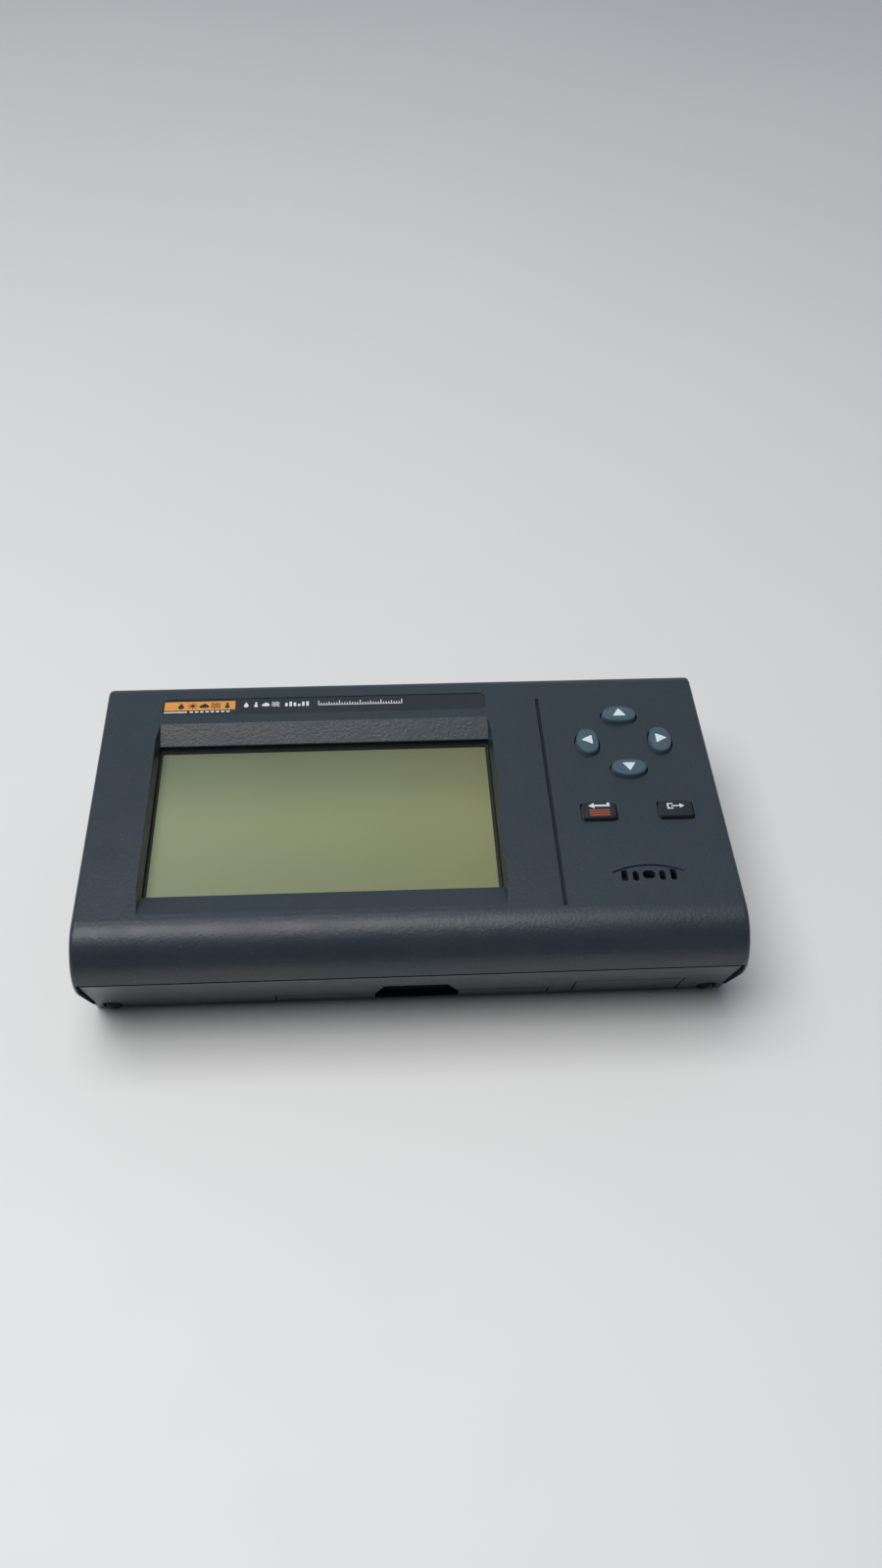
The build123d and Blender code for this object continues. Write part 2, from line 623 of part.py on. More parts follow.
# ---- display stack, from the lens inward ----
def display_stack():
    middle_x, middle_y = display_middle()
    lens_x = widened(RECESS_X, LENS_LAP)
    lens_y = widened(WINDOW_Y, LENS_LAP)
    lens_z = (LEDGE_Z - LENS_T, LEDGE_Z)
    save("display_lens", slab(lens_x, lens_y, lens_z))

    gasket_z = (lens_z[0] - GASKET_T, lens_z[0])
    gasket = slab(lens_x, lens_y, gasket_z) - slab(widened(RECESS_X, -0.2), WINDOW_Y, gasket_z)
    save("lens_gasket", gasket)

    bezel_x = (middle_x - BEZEL_W / 2, middle_x + BEZEL_W / 2)
    bezel_y = (middle_y - BEZEL_D / 2, middle_y + BEZEL_D / 2)
    glass_top = gasket_z[0] - BEZEL_SHEET
    board_top = glass_top - GLASS_T - BACKLIGHT_T
    tray = slab(bezel_x, bezel_y, (board_top, gasket_z[0]))
    tray -= slab(widened(bezel_x, -BEZEL_SHEET), widened(bezel_y, -BEZEL_SHEET), (board_top - 1, glass_top))
    tray -= slab(BEZEL_OPEN_X, BEZEL_OPEN_Y, (glass_top - 1, FACE_Z))
    tray = fillet(tray.faces().sort_by(Axis.Z)[-1].outer_wire().edges(), 0.5)
    save("lcd_bezel", tray)

    inset_x = widened(bezel_x, -BEZEL_SHEET - 0.2)
    inset_y = widened(bezel_y, -BEZEL_SHEET - 0.2)
    save("lcd_glass", slab(inset_x, inset_y, (glass_top - GLASS_T, glass_top)))
    save("lcd_backlight", slab(inset_x, inset_y, (board_top, glass_top - GLASS_T)))

    board_x = (middle_x - LCD_BOARD_W / 2, middle_x + LCD_BOARD_W / 2)
    board_y = (middle_y - LCD_BOARD_D / 2, middle_y + LCD_BOARD_D / 2)
    board = raised(rectangle(board_x, board_y, 1.0), (board_top - PCB_T, board_top))
    for x, y in lcd_screw_places():
        board -= post(x, y, (board_top - 3, board_top + 1), 1.3)
    save("lcd_board", board)
    save("lcd_screws", screw_group(lcd_screw_places(), board_top - PCB_T, 6.0, 1.0, 2.2))
    return board_top - PCB_T


def screw_group(places, seat_z, length, radius, head_r, way=1):
    """Pan-head screws with a cross slot, driven upward (way 1) or downward (way -1) into their seat."""
    screws = []
    for x, y in places:
        head = post(x, y, sorted((seat_z, seat_z - way * SCREW_HEAD_H)), head_r)
        head_faces = head.faces().sort_by(Axis.Z)
        head = fillet(head_faces[0 if way > 0 else -1].edges(), 0.5)
        screw = head + post(x, y, sorted((seat_z - way * 0.1, seat_z + way * length)), radius)
        for turn in (0, 90):
            slot = Pos(x, y, seat_z - way * SCREW_HEAD_H) * Rot(0, 0, turn) * Box(head_r * 1.2, 0.5, 1.6)
            screw -= slot
        screws.append(screw)
    return Compound(children=screws)


# ---- keys and keypad ----
def key_cap(outline, flange, top, crown):
    """A cap with a rounded top, a retaining flange under the face and a post over its switch."""
    cap = raised(outline, (FLANGE_Z[0], top))
    cap = fillet(cap.faces().sort_by(Axis.Z)[-1].edges(), crown)
    cap += raised(flange, FLANGE_Z)
    middle = outline.center(CenterOf.BOUNDING_BOX)
    return cap + post(middle.X, middle.Y, (KEY_POST_FOOT, FLANGE_Z[0] + 0.1), KEY_POST_R)


def keys():
    for name, (x, y, turn) in arrow_places().items():
        place = Pos(x, y) * Rot(0, 0, turn)
        save(name, key_cap(place * arrow_outline(), place * arrow_outline(KEY_FLANGE), KEY_TOP, 0.9))
    for name, (x, y) in action_places().items():
        cap = Pos(x, y) * RectangleRounded(ACTION_W, ACTION_D, 1.0)
        flange = Pos(x, y) * RectangleRounded(ACTION_W + 2 * KEY_FLANGE, ACTION_D + 2 * KEY_FLANGE, 1.5)
        save(name, key_cap(cap, flange, ACTION_TOP, 0.5))


def key_centres():
    centres = [(x, y) for x, y, turn in arrow_places().values()]
    return centres + list(action_places().values())


def keypad():
    sheet = slab((57.8, 95.4), (-15.0, 45.6), (INNER_FACE - MEMBRANE_T, INNER_FACE))
    for outline in key_outlines(KEY_GAP):
        sheet -= raised(outline, (INNER_FACE - 2, INNER_FACE + 1))
    for x, y in keypad_screw_places():
        sheet -= post(x, y, (INNER_FACE - 2, INNER_FACE + 1), 2.8)
    save("keypad_membrane", sheet)

    board_z = (KEYPAD_TOP - PCB_T, KEYPAD_TOP)
    board = raised(rectangle(KEYPAD_X, KEYPAD_Y, 1.0), board_z)
    for x, y in keypad_screw_places():
        board -= post(x, y, (board_z[0] - 1, board_z[1] + 1), 1.3)
    save("keypad_board", board)
    save("keypad_screws", screw_group(keypad_screw_places(), board_z[0], 5.0, 1.0, 2.2))

    switches = []
    half = SWITCH_SIDE / 2
    for x, y in key_centres():
        case = slab((x - half, x + half), (y - half, y + half), (KEYPAD_TOP, SWITCH_TOP))
        switches.append(case + post(x, y, (SWITCH_TOP - 0.2, PLUNGER_TOP), PLUNGER_R))
    save("key_switches", Compound(children=switches))

    buzzer_y = GRILLE_CREST_Y - 4.2
    buzzer = post(GRILLE_X, buzzer_y, (KEYPAD_TOP, KEYPAD_TOP + BUZZER_H), BUZZER_R)
    buzzer = fillet(buzzer.faces().sort_by(Axis.Z)[-1].edges(), 0.8)
    buzzer -= post(GRILLE_X, buzzer_y, (KEYPAD_TOP + BUZZER_H - 1.5, FACE_Z), 1.2)
    save("buzzer", buzzer)


# ---- main board ----
def main_board():
    board_z = (MAIN_Z, MAIN_TOP)
    board = raised(rectangle(MAIN_X, MAIN_Y, 1.5), board_z)
    for x, y in MAIN_POSTS:
        board -= post(x, y, (MAIN_Z - 1, MAIN_TOP + 1), 1.5)
    save("main_board", board)
    save("board_screws", screw_group(MAIN_POSTS, MAIN_TOP, 8.0, 1.1, 2.6, way=-1))

    chips = [((-20, -6), (-10, 4), 1.6), ((2, 12), (-10, -2), 1.2), ((20, 30), (6, 14), 1.2),
             ((-45, -35), (-4, 10), 2.4), ((-45, -38), (20, 26), 1.0), ((42, 50), (-20, -12), 3.0)]
    blocks = [slab(x, y, (MAIN_TOP, MAIN_TOP + height)) for x, y, height in chips]
    save("board_chips", Compound(children=blocks))

    cans = [post(x, -20, (MAIN_TOP, MAIN_TOP + 8.5), 3.2) for x in (60, 69, 78)]
    cans = [fillet(can.faces().sort_by(Axis.Z)[-1].edges(), 0.5) for can in cans]
    save("power_capacitors", Compound(children=cans))


def board_headers(lcd_board_foot):
    """The two stacking connectors, from the main board up to the display and keypad boards."""
    lcd = slab((-24, 12), (28, 33), (MAIN_TOP, lcd_board_foot))
    keys_header = slab((60, 80), (30, 35), (MAIN_TOP, KEYPAD_TOP - PCB_T))
    save("board_headers", Compound(children=[lcd, keys_header]))


# ---- sockets and ports ----
def sensor_sockets():
    inserts = []
    nuts = []
    floor_y = HALF_D - SOCKET_BORE_DEPTH
    for side, name in ((-1, "left"), (1, "right")):
        x = side * SOCKET_X
        body = bar_y(x, SOCKET_Z, (SOCKET_BACK_Y, HALF_D), SOCKET_R)
        body += bar_y(x, SOCKET_Z, (HALF_D - SOCKET_FLANGE_T, HALF_D), SOCKET_FLANGE_R)
        body = fillet(body.faces().sort_by(Axis.Y)[-1].edges(), 0.4)
        body -= bar_y(x, SOCKET_Z, (floor_y, HALF_D + 1), SOCKET_BORE_R)
        body -= bar_y(x, SOCKET_Z, (SOCKET_BACK_Y - 1, floor_y + 0.1), SOCKET_INSERT_R)
        key_slot = slab((x - 0.8, x + 0.8), (floor_y, HALF_D + 1), (SOCKET_Z, SOCKET_Z + SOCKET_BORE_R + 0.9))
        body -= key_slot
        save(f"sensor_socket_{name}", body)

        insert = bar_y(x, SOCKET_Z, (SOCKET_BACK_Y + 1, floor_y), SOCKET_INSERT_R)
        for step in range(5):
            angle = math.radians(90 + 72 * step)
            hole_x = x + 2.6 * math.cos(angle)
            hole_z = SOCKET_Z + 2.6 * math.sin(angle)
            insert -= bar_y(hole_x, hole_z, (floor_y - 4, floor_y + 1), 0.55)
        inserts.append(insert)

        nut_y = (HALF_D - WALL - 2.6, HALF_D - WALL - 0.1)
        hexagon = Plane.XZ * RegularPolygon(SOCKET_R + 3.0, 6)
        nut = Pos(x, nut_y[0], SOCKET_Z) * extrude(hexagon, amount=nut_y[1] - nut_y[0], dir=(0, 1, 0))
        nuts.append(nut - bar_y(x, SOCKET_Z, widened(nut_y, 1), SOCKET_R + 0.05))
    save("sensor_inserts", Compound(children=inserts))
    save("sensor_nuts", Compound(children=nuts))


def side_ports():
    front = PORT_BACK_WALL - 0.1
    z = (MAIN_TOP, MAIN_TOP + ETHERNET_H)
    half = ETHERNET_W / 2
    shield = slab((front - ETHERNET_L, front), (ETHERNET_Y - half, ETHERNET_Y + half), z)
    cavity_x = (front - 14.0, front + 1)
    plug_z = (z[0] + 2.2, z[0] + 9.4)
    shield -= slab(cavity_x, (ETHERNET_Y - 5.9, ETHERNET_Y + 5.9), plug_z)
    shield -= slab(cavity_x, (ETHERNET_Y - 3.1, ETHERNET_Y + 3.1), (plug_z[1] - 0.1, plug_z[1] + 1.6))
    save("ethernet_port", shield)
    contacts = []
    for step in range(8):
        y = ETHERNET_Y + (step - 3.5) * 1.02
        blade = [(front - 13.9, plug_z[0] + 0.1), (front - 4.0, plug_z[0] + 0.1), (front - 12.5, plug_z[0] + 1.4)]
        face = Plane.XZ * make_face(Polyline(*blade, close=True))
        contacts.append(Pos(0, y - 0.2, 0) * extrude(face, amount=0.4, dir=(0, 1, 0)))
    save("ethernet_contacts", Compound(children=contacts))

    jack = slab((front - 13, front - 0.8), (DC_Y - 4.5, DC_Y + 4.5), (MAIN_TOP, MAIN_TOP + 10.5))
    jack += bar_x(DC_Y, JACK_Z, (front - 2, PORT_BACK_WALL + 0.6), 4.4)
    jack -= bar_x(DC_Y, JACK_Z, (front - 10, HALF_W), DC_R)
    save("dc_jack", jack)
    save("dc_jack_pin", bar_x(DC_Y, JACK_Z, (front - 10, front - 1), 1.0))

    serial = slab((front - 14, front - 0.8), (SERIAL_Y - 4, SERIAL_Y + 4), (MAIN_TOP, MAIN_TOP + 8.8))
    serial += bar_x(SERIAL_Y, JACK_Z, (front - 2, PORT_BACK_WALL + 0.6), 3.6)
    serial -= bar_x(SERIAL_Y, JACK_Z, (front - 12, HALF_W), SERIAL_R)
    save("serial_jack", serial)


# ---- battery, door, stand ----
def battery():
    half = BATTERY_W / 2
    end_y = BATTERY_Y0 + BATTERY_L
    z = (BATTERY_Z0, BATTERY_Z0 + BATTERY_H)
    cell = slab((BATTERY_X - half, BATTERY_X + half), (BATTERY_Y0, end_y), z)
    cell = fillet(cell.edges().filter_by(Axis.Y), 2.0)
    middle_z = sum(z) / 2
    cell += bar_y(BATTERY_X - 6.35, middle_z, (end_y - 0.5, end_y + 2.0), 2.85)
    cell += bar_y(BATTERY_X + 6.35, middle_z, (end_y - 0.5, end_y + 2.0), 4.0)
    save("battery", cell)
    clip = slab((BATTERY_X - 12.5, BATTERY_X + 12.5), (end_y + 5.0, end_y + 6.2), (z[0] + 2, z[1] - 2))
    for reach, radius in ((-6.35, 4.0), (6.35, 2.85)):
        clip += bar_y(BATTERY_X + reach, middle_z, (end_y + 2.2, end_y + 5.1), radius)
    save("battery_contacts", clip)


def battery_door():
    """Flat cover with a lip that carries on up the slanted wall, and four tongues over the floor."""
    outer = body_block()
    plate = slab(DOOR_X, (-FAR, DOOR_FAR_Y), (BASE_Z, BASE_Z + DOOR_T))
    lip = slant_slab((-1.0, DOOR_T), DOOR_X, (BASE_Z, DOOR_LIP_Z))
    door = (plate + lip) & outer
    ribs = []
    for low, high in DOOR_TONGUES_Y:
        left, right = DOOR_X
        ribs.append(slab((left - TONGUE_REACH, left + 1.6), (low, high), TONGUE_Z))
        ribs.append(slab((left + 0.4, left + 1.6), (low, high), (BASE_Z + 1, TONGUE_Z[1])))
        ribs.append(slab((right - 1.6, right + TONGUE_REACH), (low, high), TONGUE_Z))
        ribs.append(slab((right - 1.6, right - 0.4), (low, high), (BASE_Z + 1, TONGUE_Z[1])))
    for rib in ribs:
        door += rib
    for step in range(6):
        y = -30 + step * 2.2
        door -= slab((62, 80), (y, y + 0.9), (BASE_Z - 1, BASE_Z + 0.5))
    save("battery_door", door)


def tilt_stand():
    """Easel plate with a lip on the slanted wall, stiffening ribs and two hinge barrels."""
    x = (-STAND_HALF, STAND_HALF)
    outer = body_block()
    near = slant_y(BASE_Z)
    plate = slab(x, (near - 3, HINGE_Y), STAND_Z) & outer
    plate += slant_slab((0.0, STAND_T), x, (STAND_Z[0], STAND_LIP_Z))
    plate -= slab((-34, 34), (HINGE_Y - 8, HINGE_Y + 1), (-FAR, FAR))
    for rib_x in (-36, -24, -8, 10, 24, 36):
        plate += slab((rib_x - 0.8, rib_x + 0.8), (NOTCH_BACK_Y + 1, HINGE_Y - 10), (STAND_Z[0] + 1, 6.2))
    for side in (-1, 1):
        barrel_x = sorted((side * 36.0, side * STAND_HALF))
        plate += bar_x(HINGE_Y, HINGE_Z, barrel_x, BARREL_R)
    plate -= finger_notch()
    plate -= bar_x(HINGE_Y, HINGE_Z, (-FAR, FAR), PIN_R + RUNNING)
    save("tilt_stand", plate)
    pins = [bar_x(HINGE_Y, HINGE_Z, sorted((side * (PIN_X[0] + 0.5), side * PIN_X[1])), PIN_R)
            for side in (-1, 1)]
    save("stand_hinge_pins", Compound(children=pins))


# ---- small outer pieces ----
def name_plate():
    plate = raised(rectangle(widened(PLATE_X, -0.15), widened(PLATE_Y, -0.15), PLATE_R - 0.15),
                   (FACE_Z - PLATE_DEPTH, FACE_Z - 0.2))
    save("name_plate", plate)


def rating_label():
    label = rectangle(widened(LABEL_X, -0.2), widened(LABEL_Y, -0.2), 1.3)
    save("rating_label", raised(label, (BASE_Z + 0.15, BASE_Z + LABEL_DEPTH)))


def feet_and_screws():
    feet = [post(x, y, (0, FOOT_POCKET_TOP), FOOT_R) for x, y in FEET]
    feet = [fillet(foot.faces().sort_by(Axis.Z)[0].edges(), 0.6) for foot in feet]
    save("rubber_feet", Compound(children=feet))
    save("case_screws", screw_group(CASE_SCREWS, 4.9, 14.0, SCREW_R, 3.0))


os.makedirs("parts", exist_ok=True)
save("front_shell", front_shell())
save("rear_shell", rear_shell())
lcd_foot = display_stack()
keys()
keypad()
main_board()
board_headers(lcd_foot)
sensor_sockets()
side_ports()
battery()
battery_door()
tilt_stand()
name_plate()
rating_label()
feet_and_screws()
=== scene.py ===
import json
import math

import bmesh
import bpy
from mathutils import Euler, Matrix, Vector
from mathutils.geometry import tessellate_polygon


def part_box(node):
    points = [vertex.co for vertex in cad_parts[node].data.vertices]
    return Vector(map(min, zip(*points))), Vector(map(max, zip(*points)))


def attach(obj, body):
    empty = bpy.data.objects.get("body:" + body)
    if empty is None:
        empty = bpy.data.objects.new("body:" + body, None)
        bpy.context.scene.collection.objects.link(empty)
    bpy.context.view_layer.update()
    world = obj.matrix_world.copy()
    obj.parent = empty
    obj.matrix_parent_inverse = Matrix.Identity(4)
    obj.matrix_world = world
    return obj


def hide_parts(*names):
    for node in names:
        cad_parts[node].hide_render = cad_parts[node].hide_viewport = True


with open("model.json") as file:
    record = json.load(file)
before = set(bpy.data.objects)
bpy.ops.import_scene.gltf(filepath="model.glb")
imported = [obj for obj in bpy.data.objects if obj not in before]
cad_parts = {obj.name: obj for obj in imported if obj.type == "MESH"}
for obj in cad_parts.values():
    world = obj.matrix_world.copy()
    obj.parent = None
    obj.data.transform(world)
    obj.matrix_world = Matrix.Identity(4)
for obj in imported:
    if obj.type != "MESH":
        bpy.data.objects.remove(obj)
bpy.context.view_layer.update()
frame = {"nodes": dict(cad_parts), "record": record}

MM = 0.001
SCENE = bpy.context.scene
NODES = frame["nodes"]


# ---------------------------------------------------------------- shader helpers
class Shader:
    """A small wrapper that adds and links the nodes of one material."""

    def __init__(self, name):
        self.material = bpy.data.materials.new(name)
        self.material.use_nodes = True
        self.tree = self.material.node_tree
        self.tree.nodes.clear()
        self.output = self.tree.nodes.new("ShaderNodeOutputMaterial")
        self.bsdf = self.tree.nodes.new("ShaderNodeBsdfPrincipled")
        self.link(self.bsdf.outputs[0], self.output.inputs["Surface"])
        self.place = self.tree.nodes.new("ShaderNodeTexCoord").outputs["Object"]

    def link(self, source, target):
        self.tree.links.new(source, target)

    def set(self, **values):
        """Values that are the same all over go straight onto the shader's own sockets."""
        for name, value in values.items():
            self.bsdf.inputs[name.replace("_", " ")].default_value = value

    def feed(self, socket, value):
        """A number is set on the socket; anything else is linked to it."""
        if isinstance(value, (int, float)):
            socket.default_value = value
        else:
            self.link(value, socket)

    def noise(self, scale, detail=3.0, roughness=0.5, vector=None):
        node = self.tree.nodes.new("ShaderNodeTexNoise")
        node.inputs["Scale"].default_value = scale
        node.inputs["Detail"].default_value = detail
        node.inputs["Roughness"].default_value = roughness
        self.link(vector or self.place, node.inputs["Vector"])
        return node.outputs["Fac"]

    def cells(self, scale):
        node = self.tree.nodes.new("ShaderNodeTexVoronoi")
        node.inputs["Scale"].default_value = scale
        self.link(self.place, node.inputs["Vector"])
        return node.outputs["Distance"]

    def stretched(self, x, y, z):
        """The object's own coordinates, scaled along each axis."""
        node = self.tree.nodes.new("ShaderNodeMapping")
        node.inputs["Scale"].default_value = (x, y, z)
        self.link(self.place, node.inputs["Vector"])
        return node.outputs[0]

    def ramp(self, value, stops, smooth=False):
        """Stops are (position, colour) pairs; a number stands for a grey."""
        node = self.tree.nodes.new("ShaderNodeValToRGB")
        if smooth:
            node.color_ramp.interpolation = "EASE"
        elements = node.color_ramp.elements
        while len(elements) < len(stops):
            elements.new(0.5)
        for element, (position, colour) in zip(elements, stops):
            element.position = position
            grey = isinstance(colour, (int, float))
            element.color = (colour, colour, colour, 1) if grey else (*colour, 1)
        self.link(value, node.inputs[0])
        return node.outputs[0]

    def math(self, operation, first, second=0.0):
        node = self.tree.nodes.new("ShaderNodeMath")
        node.operation = operation
        for socket, value in zip(node.inputs, (first, second)):
            self.feed(socket, value)
        return node.outputs[0]

    def mix(self, factor, first, second):
        """From the first colour to the second, by a factor between 0 and 1."""
        node = self.tree.nodes.new("ShaderNodeMix")
        node.data_type = "RGBA"
        self.feed(node.inputs["Factor"], factor)
        for socket, value in zip(node.inputs[6:8], (first, second)):
            if isinstance(value, tuple):
                socket.default_value = (*value, 1)
            else:
                self.link(value, socket)
        return node.outputs[2]

    def axis(self, index):
        """One of the object's own coordinates, in metres."""
        node = self.tree.nodes.new("ShaderNodeSeparateXYZ")
        self.link(self.place, node.inputs[0])
        return node.outputs[index]

    def span(self, value, low, high, out_low=0.0, out_high=1.0):
        """A value between low and high, mapped onto the output range and clamped to it."""
        node = self.tree.nodes.new("ShaderNodeMapRange")
        node.clamp = True
        self.link(value, node.inputs["Value"])
        numbers = {"From Min": low, "From Max": high, "To Min": out_low, "To Max": out_high}
        for name, number in numbers.items():
            node.inputs[name].default_value = number
        return node.outputs[0]

    def bump(self, height, distance, under=None):
        """Normals raised by a height, in metres, on top of the ones under it."""
        node = self.tree.nodes.new("ShaderNodeBump")
        node.inputs["Distance"].default_value = distance
        node.inputs["Strength"].default_value = 1.0
        self.link(height, node.inputs["Height"])
        if under is not None:
            self.link(under, node.inputs["Normal"])
        return node.outputs[0]

    def soft_edges(self, radius):
        """Normals that roll over sharp edges, as on a moulded part."""
        node = self.tree.nodes.new("ShaderNodeBevel")
        node.samples = 4
        node.inputs["Radius"].default_value = radius
        return node.outputs[0]

    def colour(self, output):
        self.link(output, self.bsdf.inputs["Base Color"])

    def roughness(self, output):
        self.link(output, self.bsdf.inputs["Roughness"])

    def normal(self, output):
        self.link(output, self.bsdf.inputs["Normal"])


# ---------------------------------------------------------------- materials
def moulded_plastic(name, low, high, grain=1500.0, depth=0.05 * MM, rough=(0.44, 0.6), gloss=0.42,
                    edge=0.25 * MM):
    """Spark-eroded moulding: fine grain, slow tone drift, faint scuffs and a little dust.

    The two tones are the darkest and lightest of the drift, and the depth is that of the grain.
    """
    s = Shader(name)
    drift = s.noise(14, 3)
    tone = s.ramp(drift, [(0.3, low), (0.7, high)])
    fleck = s.noise(grain * 0.6, 2, 0.6)
    tone = s.mix(s.span(fleck, 0.35, 0.75, 0.0, 0.35), tone, tuple(c * 1.45 for c in high))
    scuff = s.noise(55, 8, 0.72, s.stretched(1.0, 5.0, 1.0))
    scuffs = s.ramp(scuff, [(0.66, 0.0), (0.74, 1.0)])
    tone = s.mix(s.math("MULTIPLY", scuffs, 0.16), tone, tuple(min(1, c * 2.4) for c in high))
    dust = s.ramp(s.noise(1100, 1, 0.4), [(0.80, 0.0), (0.84, 1.0)])
    tone = s.mix(s.math("MULTIPLY", dust, 0.35), tone, (0.32, 0.34, 0.35))
    s.colour(tone)
    s.roughness(s.span(s.noise(90, 4), 0.3, 0.7, *rough))
    fine = s.bump(s.noise(grain, 2, 0.65), depth, under=s.soft_edges(edge))
    s.normal(s.bump(s.noise(grain * 0.55, 2, 0.4), depth * 1.4, fine))
    s.set(IOR=1.5, Specular_IOR_Level=gloss)
    return s.material


def silicone(name, low, high, rough=(0.5, 0.66)):
    """Key rubber: soft sheen, slight mottling and a little lint."""
    s = Shader(name)
    tone = s.ramp(s.noise(160, 4), [(0.3, low), (0.7, high)])
    lint = s.ramp(s.noise(2600, 1), [(0.76, 0.0), (0.82, 1.0)])
    s.colour(s.mix(s.math("MULTIPLY", lint, 0.25), tone, tuple(min(1, c * 2.2) for c in high)))
    s.roughness(s.span(s.noise(240, 3), 0.3, 0.7, *rough))
    s.normal(s.bump(s.noise(2400, 3, 0.6), 0.03 * MM))
    s.set(IOR=1.43, Sheen_Weight=0.12, Sheen_Roughness=0.5)
    return s.material


def printed_ink(name, colour, rough=0.5):
    """Screen-printed ink with a slightly uneven lay-down."""
    s = Shader(name)
    low = tuple(c * 0.86 for c in colour)
    s.colour(s.ramp(s.noise(1500, 3), [(0.35, low), (0.65, colour)]))
    s.normal(s.bump(s.noise(3000, 2), 0.01 * MM))
    s.set(Roughness=rough)
    return s.material


DOT_PITCH = 0.45 * MM


def lcd_panel():
    """Reflective olive panel, unlit, with painted light: a painted reflection from greener on the left to
    browner on the right, painted shade from the recess that is darkest at the far edge and a little darker
    at the near edge, and a faint dot grid.
    """
    s = Shader("lcd_film")
    low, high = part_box("lcd_bezel")
    across = s.span(s.axis(0), low.x, high.x)
    along = s.span(s.axis(1), low.y, high.y)
    # Painted light: each ramp darkens towards the far edge, and a little at the near edge, as painted shade
    # from the recess; the right ramp is darker and browner as a painted reflection.
    painted_light_ramps = [
        [(0.1, (0.245, 0.285, 0.18)), (0.5, (0.29, 0.33, 0.185)), (0.9, (0.172, 0.205, 0.13))],
        [(0.1, (0.218, 0.232, 0.105)), (0.5, (0.255, 0.265, 0.125)), (0.9, (0.167, 0.172, 0.088))],
    ]
    left, right = (s.ramp(along, stops, smooth=True) for stops in painted_light_ramps)
    tone = s.mix(across, left, right)
    cloud = s.span(s.noise(16, 3), 0.3, 0.7, 0.0, 0.14)
    tone = s.mix(cloud, tone, (0.36, 0.37, 0.2))
    for index in (0, 1):
        phase = s.math("FRACT", s.math("DIVIDE", s.axis(index), DOT_PITCH))
        line = s.ramp(phase, [(0.0, 1.0), (0.1, 0.0)])
        tone = s.mix(s.math("MULTIPLY", line, 0.06), tone, (0.1, 0.11, 0.06))
    s.colour(tone)
    s.normal(s.bump(s.noise(3500, 2), 0.004 * MM))
    s.roughness(s.span(s.noise(70, 3), 0.3, 0.7, 0.42, 0.52))
    s.set(Specular_IOR_Level=0.25)
    return s.material


def clear_window():
    """Hard-coated acrylic: nearly clear, with faint smears in its gloss."""
    s = Shader("window")
    smear = s.noise(26, 6, 0.65, s.stretched(1.0, 3.0, 1.0))
    s.roughness(s.span(smear, 0.3, 0.7, 0.06, 0.14))
    s.colour(s.ramp(s.noise(9, 2), [(0.3, (0.05, 0.055, 0.06)), (0.7, (0.07, 0.075, 0.08))]))
    s.normal(s.bump(s.noise(420, 2), 0.003 * MM))
    s.set(Alpha=0.04, IOR=1.45, Specular_IOR_Level=0.3)
    return s.material


def foam():
    """Closed-cell foam of the window gasket."""
    s = Shader("black_foam")
    s.colour(s.ramp(s.noise(2500, 2), [(0.3, (0.006, 0.006, 0.007)), (0.7, (0.016, 0.016, 0.018))]))
    s.normal(s.bump(s.cells(2600), 0.12 * MM))
    s.set(Roughness=0.9)
    return s.material


def black_paint(name):
    """Satin black paint or sleeve."""
    s = Shader(name)
    s.colour(s.ramp(s.noise(300, 3), [(0.3, (0.008, 0.008, 0.009)), (0.7, (0.016, 0.017, 0.018))]))
    s.roughness(s.span(s.noise(500, 3), 0.3, 0.7, 0.45, 0.6))
    s.normal(s.bump(s.noise(2600, 2), 0.01 * MM))
    return s.material


def plate_film():
    """Dark satin film of the name plate."""
    s = Shader("plate_film")
    s.colour(s.ramp(s.noise(60, 4), [(0.3, (0.014, 0.018, 0.022)), (0.7, (0.019, 0.023, 0.027))]))
    s.roughness(s.span(s.noise(200, 4), 0.3, 0.7, 0.34, 0.46))
    s.normal(s.bump(s.noise(2800, 2), 0.008 * MM))
    return s.material


def metal(name, colour, rough, brushed=(1.0, 1.0, 1.0)):
    """Plated or ground metal, with tone and gloss that follow its grain."""
    s = Shader(name)
    streak = s.noise(900.0, 4, 0.6, s.stretched(*brushed))
    low = tuple(c * 0.78 for c in colour)
    s.colour(s.ramp(streak, [(0.25, low), (0.75, colour)]))
    s.roughness(s.span(streak, 0.25, 0.75, rough * 0.75, rough * 1.25))
    s.normal(s.bump(streak, 0.012 * MM))
    s.set(Metallic=1.0)
    return s.material


def board_green():
    """Solder mask over fine copper tracks."""
    s = Shader("circuit_board")
    bricks = s.tree.nodes.new("ShaderNodeTexBrick")
    bricks.inputs["Scale"].default_value = 220
    bricks.inputs["Mortar Size"].default_value = 0.03
    s.link(s.place, bricks.inputs["Vector"])
    tracks = bricks.outputs["Fac"]
    base = s.ramp(s.noise(80, 3), [(0.3, (0.012, 0.08, 0.03)), (0.7, (0.02, 0.11, 0.045))])
    s.colour(s.mix(s.math("MULTIPLY", tracks, 0.5), base, (0.06, 0.24, 0.09)))
    s.roughness(s.span(s.noise(600, 2), 0.3, 0.7, 0.25, 0.4))
    s.normal(s.bump(tracks, 0.02 * MM))
    return s.material


def table_top():
    """Pale grey-white laminate with hardly any texture."""
    s = Shader("table_top")
    s.colour(s.ramp(s.noise(3, 3), [(0.3, (0.715, 0.708, 0.69)), (0.7, (0.745, 0.735, 0.716))]))
    s.roughness(s.span(s.noise(40, 3), 0.3, 0.7, 0.42, 0.52))
    s.normal(s.bump(s.noise(600, 2), 0.01 * MM))
    s.set(Specular_IOR_Level=0.3)
    return s.material


LABEL_ROWS = 7


